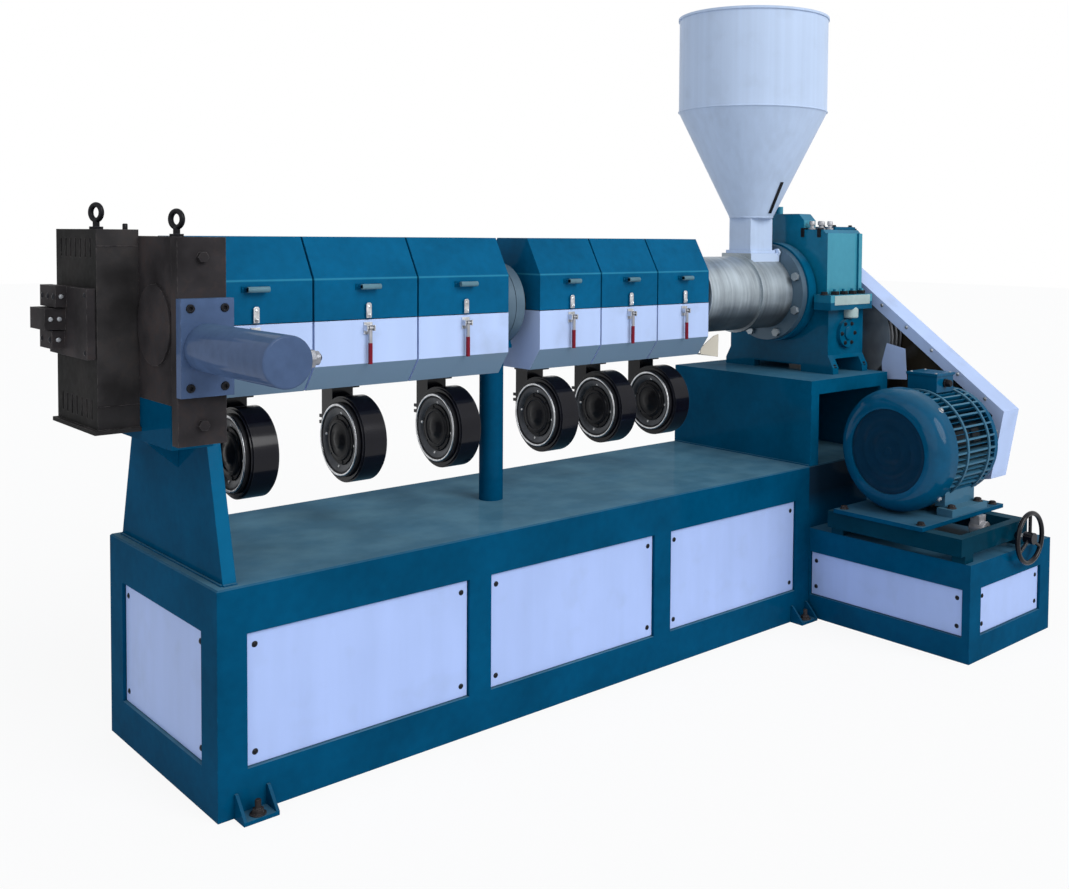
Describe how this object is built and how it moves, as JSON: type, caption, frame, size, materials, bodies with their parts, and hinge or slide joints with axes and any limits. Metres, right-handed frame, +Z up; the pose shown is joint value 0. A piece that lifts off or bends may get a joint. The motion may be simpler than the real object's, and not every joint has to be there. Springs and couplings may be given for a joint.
{
  "type": "plastic extruder",
  "caption": "Single-screw plastic extruder on a boxed base, with hooded cooling zones, blowers, hopper, gearbox, belt-driven motor, screen changer and die box.",
  "frame": {"origin": "on the floor, under the screw axis and the middle post", "axes": "+X from the die to the drive along the screw, +Y to the back of the machine, +Z up"},
  "size_m": [3.163, 1.464, 2.248],
  "materials": {
    "teal_paint": "gloss paint",
    "gear_paint": "gloss paint on castings",
    "motor_paint": "gloss paint on castings",
    "white_panel": "smooth white sheet",
    "white_sheet": "satin white paint",
    "hopper_paint": "satin pale paint",
    "machined_steel": "turned",
    "cast_aluminium": "as cast",
    "cast_grey": "machined casting",
    "bright_steel": "plated",
    "inlet_metal": "plated ring on dark face",
    "black_enamel": "black gloss",
    "belt_rubber": "moulded",
    "dark_steel": "dark oiled steel",
    "slate_paint": "slate blue paint",
    "black_steel": "blackened",
    "red_grip": "dipped grip"
  },
  "bodies": {
    "machine": {"anchor_brackets": "teal_paint", "barrel": "machined_steel", "base_frame": "teal_paint", "base_panels": "white_panel", "belt_guard": "white_sheet", "blower_casings": "black_enamel", "blower_ducts": "black_enamel", "blower_inlets": "inlet_metal", "changer_body": "dark_steel", "changer_side_plate": "dark_steel", "die_block": "dark_steel", "die_box": "dark_steel", "eye_bolts": "black_steel", "feed_throat": "cast_grey", "gearbox_body": "gear_paint", "gearbox_lid": "gear_paint", "gearbox_pedestal": "teal_paint", "head_stand": "teal_paint", "heater_bands": "cast_aluminium", "hopper_bin": "hopper_paint", "hopper_neck": "hopper_paint", "hydraulic_ram": "slate_paint", "latch_bases": "bright_steel", "mid_post": "teal_paint", "motor_base_frame": "teal_paint", "motor_base_panels": "white_panel", "motor_body": "motor_paint", "motor_cowl": "motor_paint", "motor_plate": "teal_paint", "pans": "white_sheet", "port_fitting": "bright_steel", "ram_flange": "slate_paint", "slide_frame": "teal_paint", "terminal_box": "motor_paint", "thrust_housing": "gear_paint", "v_belts": "belt_rubber"},
    "hood_1": {"hood_1": "teal_paint"},
    "hood_2": {"hood_2": "teal_paint"},
    "hood_3": {"hood_3": "teal_paint"},
    "hood_4": {"hood_4": "teal_paint"},
    "hood_5": {"hood_5": "teal_paint"},
    "hood_6": {"hood_6": "teal_paint"},
    "latch_lever_1": {"latch_lever_1": "red_grip"},
    "latch_lever_2": {"latch_lever_2": "red_grip"},
    "latch_lever_3": {"latch_lever_3": "red_grip"},
    "latch_lever_4": {"latch_lever_4": "red_grip"},
    "latch_lever_5": {"latch_lever_5": "red_grip"},
    "latch_lever_6": {"latch_lever_6": "red_grip"},
    "handwheel": {"handwheel": "black_enamel"},
    "drive_pulley": {"drive_pulley": "cast_grey"},
    "driven_pulley": {"driven_pulley": "cast_grey"}
  },
  "joints": [
    {"name": "hood_1_hinge", "type": "hinge", "parent": "machine", "child": "hood_1", "pos_m": [-0.8635, 0.157, 1.168], "axis": [-1, 0, 0], "range_deg": [0, 95]},
    {"name": "hood_2_hinge", "type": "hinge", "parent": "machine", "child": "hood_2", "pos_m": [-0.5345, 0.157, 1.168], "axis": [-1, 0, 0], "range_deg": [0, 95]},
    {"name": "hood_3_hinge", "type": "hinge", "parent": "machine", "child": "hood_3", "pos_m": [-0.2055, 0.157, 1.168], "axis": [-1, 0, 0], "range_deg": [0, 95]},
    {"name": "hood_4_hinge", "type": "hinge", "parent": "machine", "child": "hood_4", "pos_m": [0.208, 0.157, 1.168], "axis": [-1, 0, 0], "range_deg": [0, 95]},
    {"name": "hood_5_hinge", "type": "hinge", "parent": "machine", "child": "hood_5", "pos_m": [0.47, 0.157, 1.168], "axis": [-1, 0, 0], "range_deg": [0, 95]},
    {"name": "hood_6_hinge", "type": "hinge", "parent": "machine", "child": "hood_6", "pos_m": [0.732, 0.157, 1.168], "axis": [-1, 0, 0], "range_deg": [0, 95]},
    {"name": "latch_1_pivot", "type": "hinge", "parent": "machine", "child": "latch_lever_1", "pos_m": [-0.8635, -0.16, 1.144], "axis": [-1, 0, 0], "range_deg": [0, 100]},
    {"name": "latch_2_pivot", "type": "hinge", "parent": "machine", "child": "latch_lever_2", "pos_m": [-0.5345, -0.16, 1.144], "axis": [-1, 0, 0], "range_deg": [0, 100]},
    {"name": "latch_3_pivot", "type": "hinge", "parent": "machine", "child": "latch_lever_3", "pos_m": [-0.2055, -0.16, 1.144], "axis": [-1, 0, 0], "range_deg": [0, 100]},
    {"name": "latch_4_pivot", "type": "hinge", "parent": "machine", "child": "latch_lever_4", "pos_m": [0.208, -0.16, 1.144], "axis": [-1, 0, 0], "range_deg": [0, 100]},
    {"name": "latch_5_pivot", "type": "hinge", "parent": "machine", "child": "latch_lever_5", "pos_m": [0.47, -0.16, 1.144], "axis": [-1, 0, 0], "range_deg": [0, 100]},
    {"name": "latch_6_pivot", "type": "hinge", "parent": "machine", "child": "latch_lever_6", "pos_m": [0.732, -0.16, 1.144], "axis": [-1, 0, 0], "range_deg": [0, 100]},
    {"name": "handwheel_turn", "type": "hinge", "parent": "machine", "child": "handwheel", "pos_m": [1.538, -1.042, 0.372], "axis": [0, 1, 0], "continuous": true},
    {"name": "driven_pulley_spin", "type": "hinge", "parent": "machine", "child": "driven_pulley", "pos_m": [1.742, -0.15, 1.004], "axis": [1, 0, 0], "continuous": true},
    {"name": "drive_pulley_spin", "type": "hinge", "parent": "machine", "child": "drive_pulley", "pos_m": [1.742, -0.665, 0.657], "axis": [1, 0, 0], "continuous": true}
  ],
  "couplings": [
    {"joint": "drive_pulley_spin", "follows": "driven_pulley_spin", "ratio": 1.4915}
  ]
}
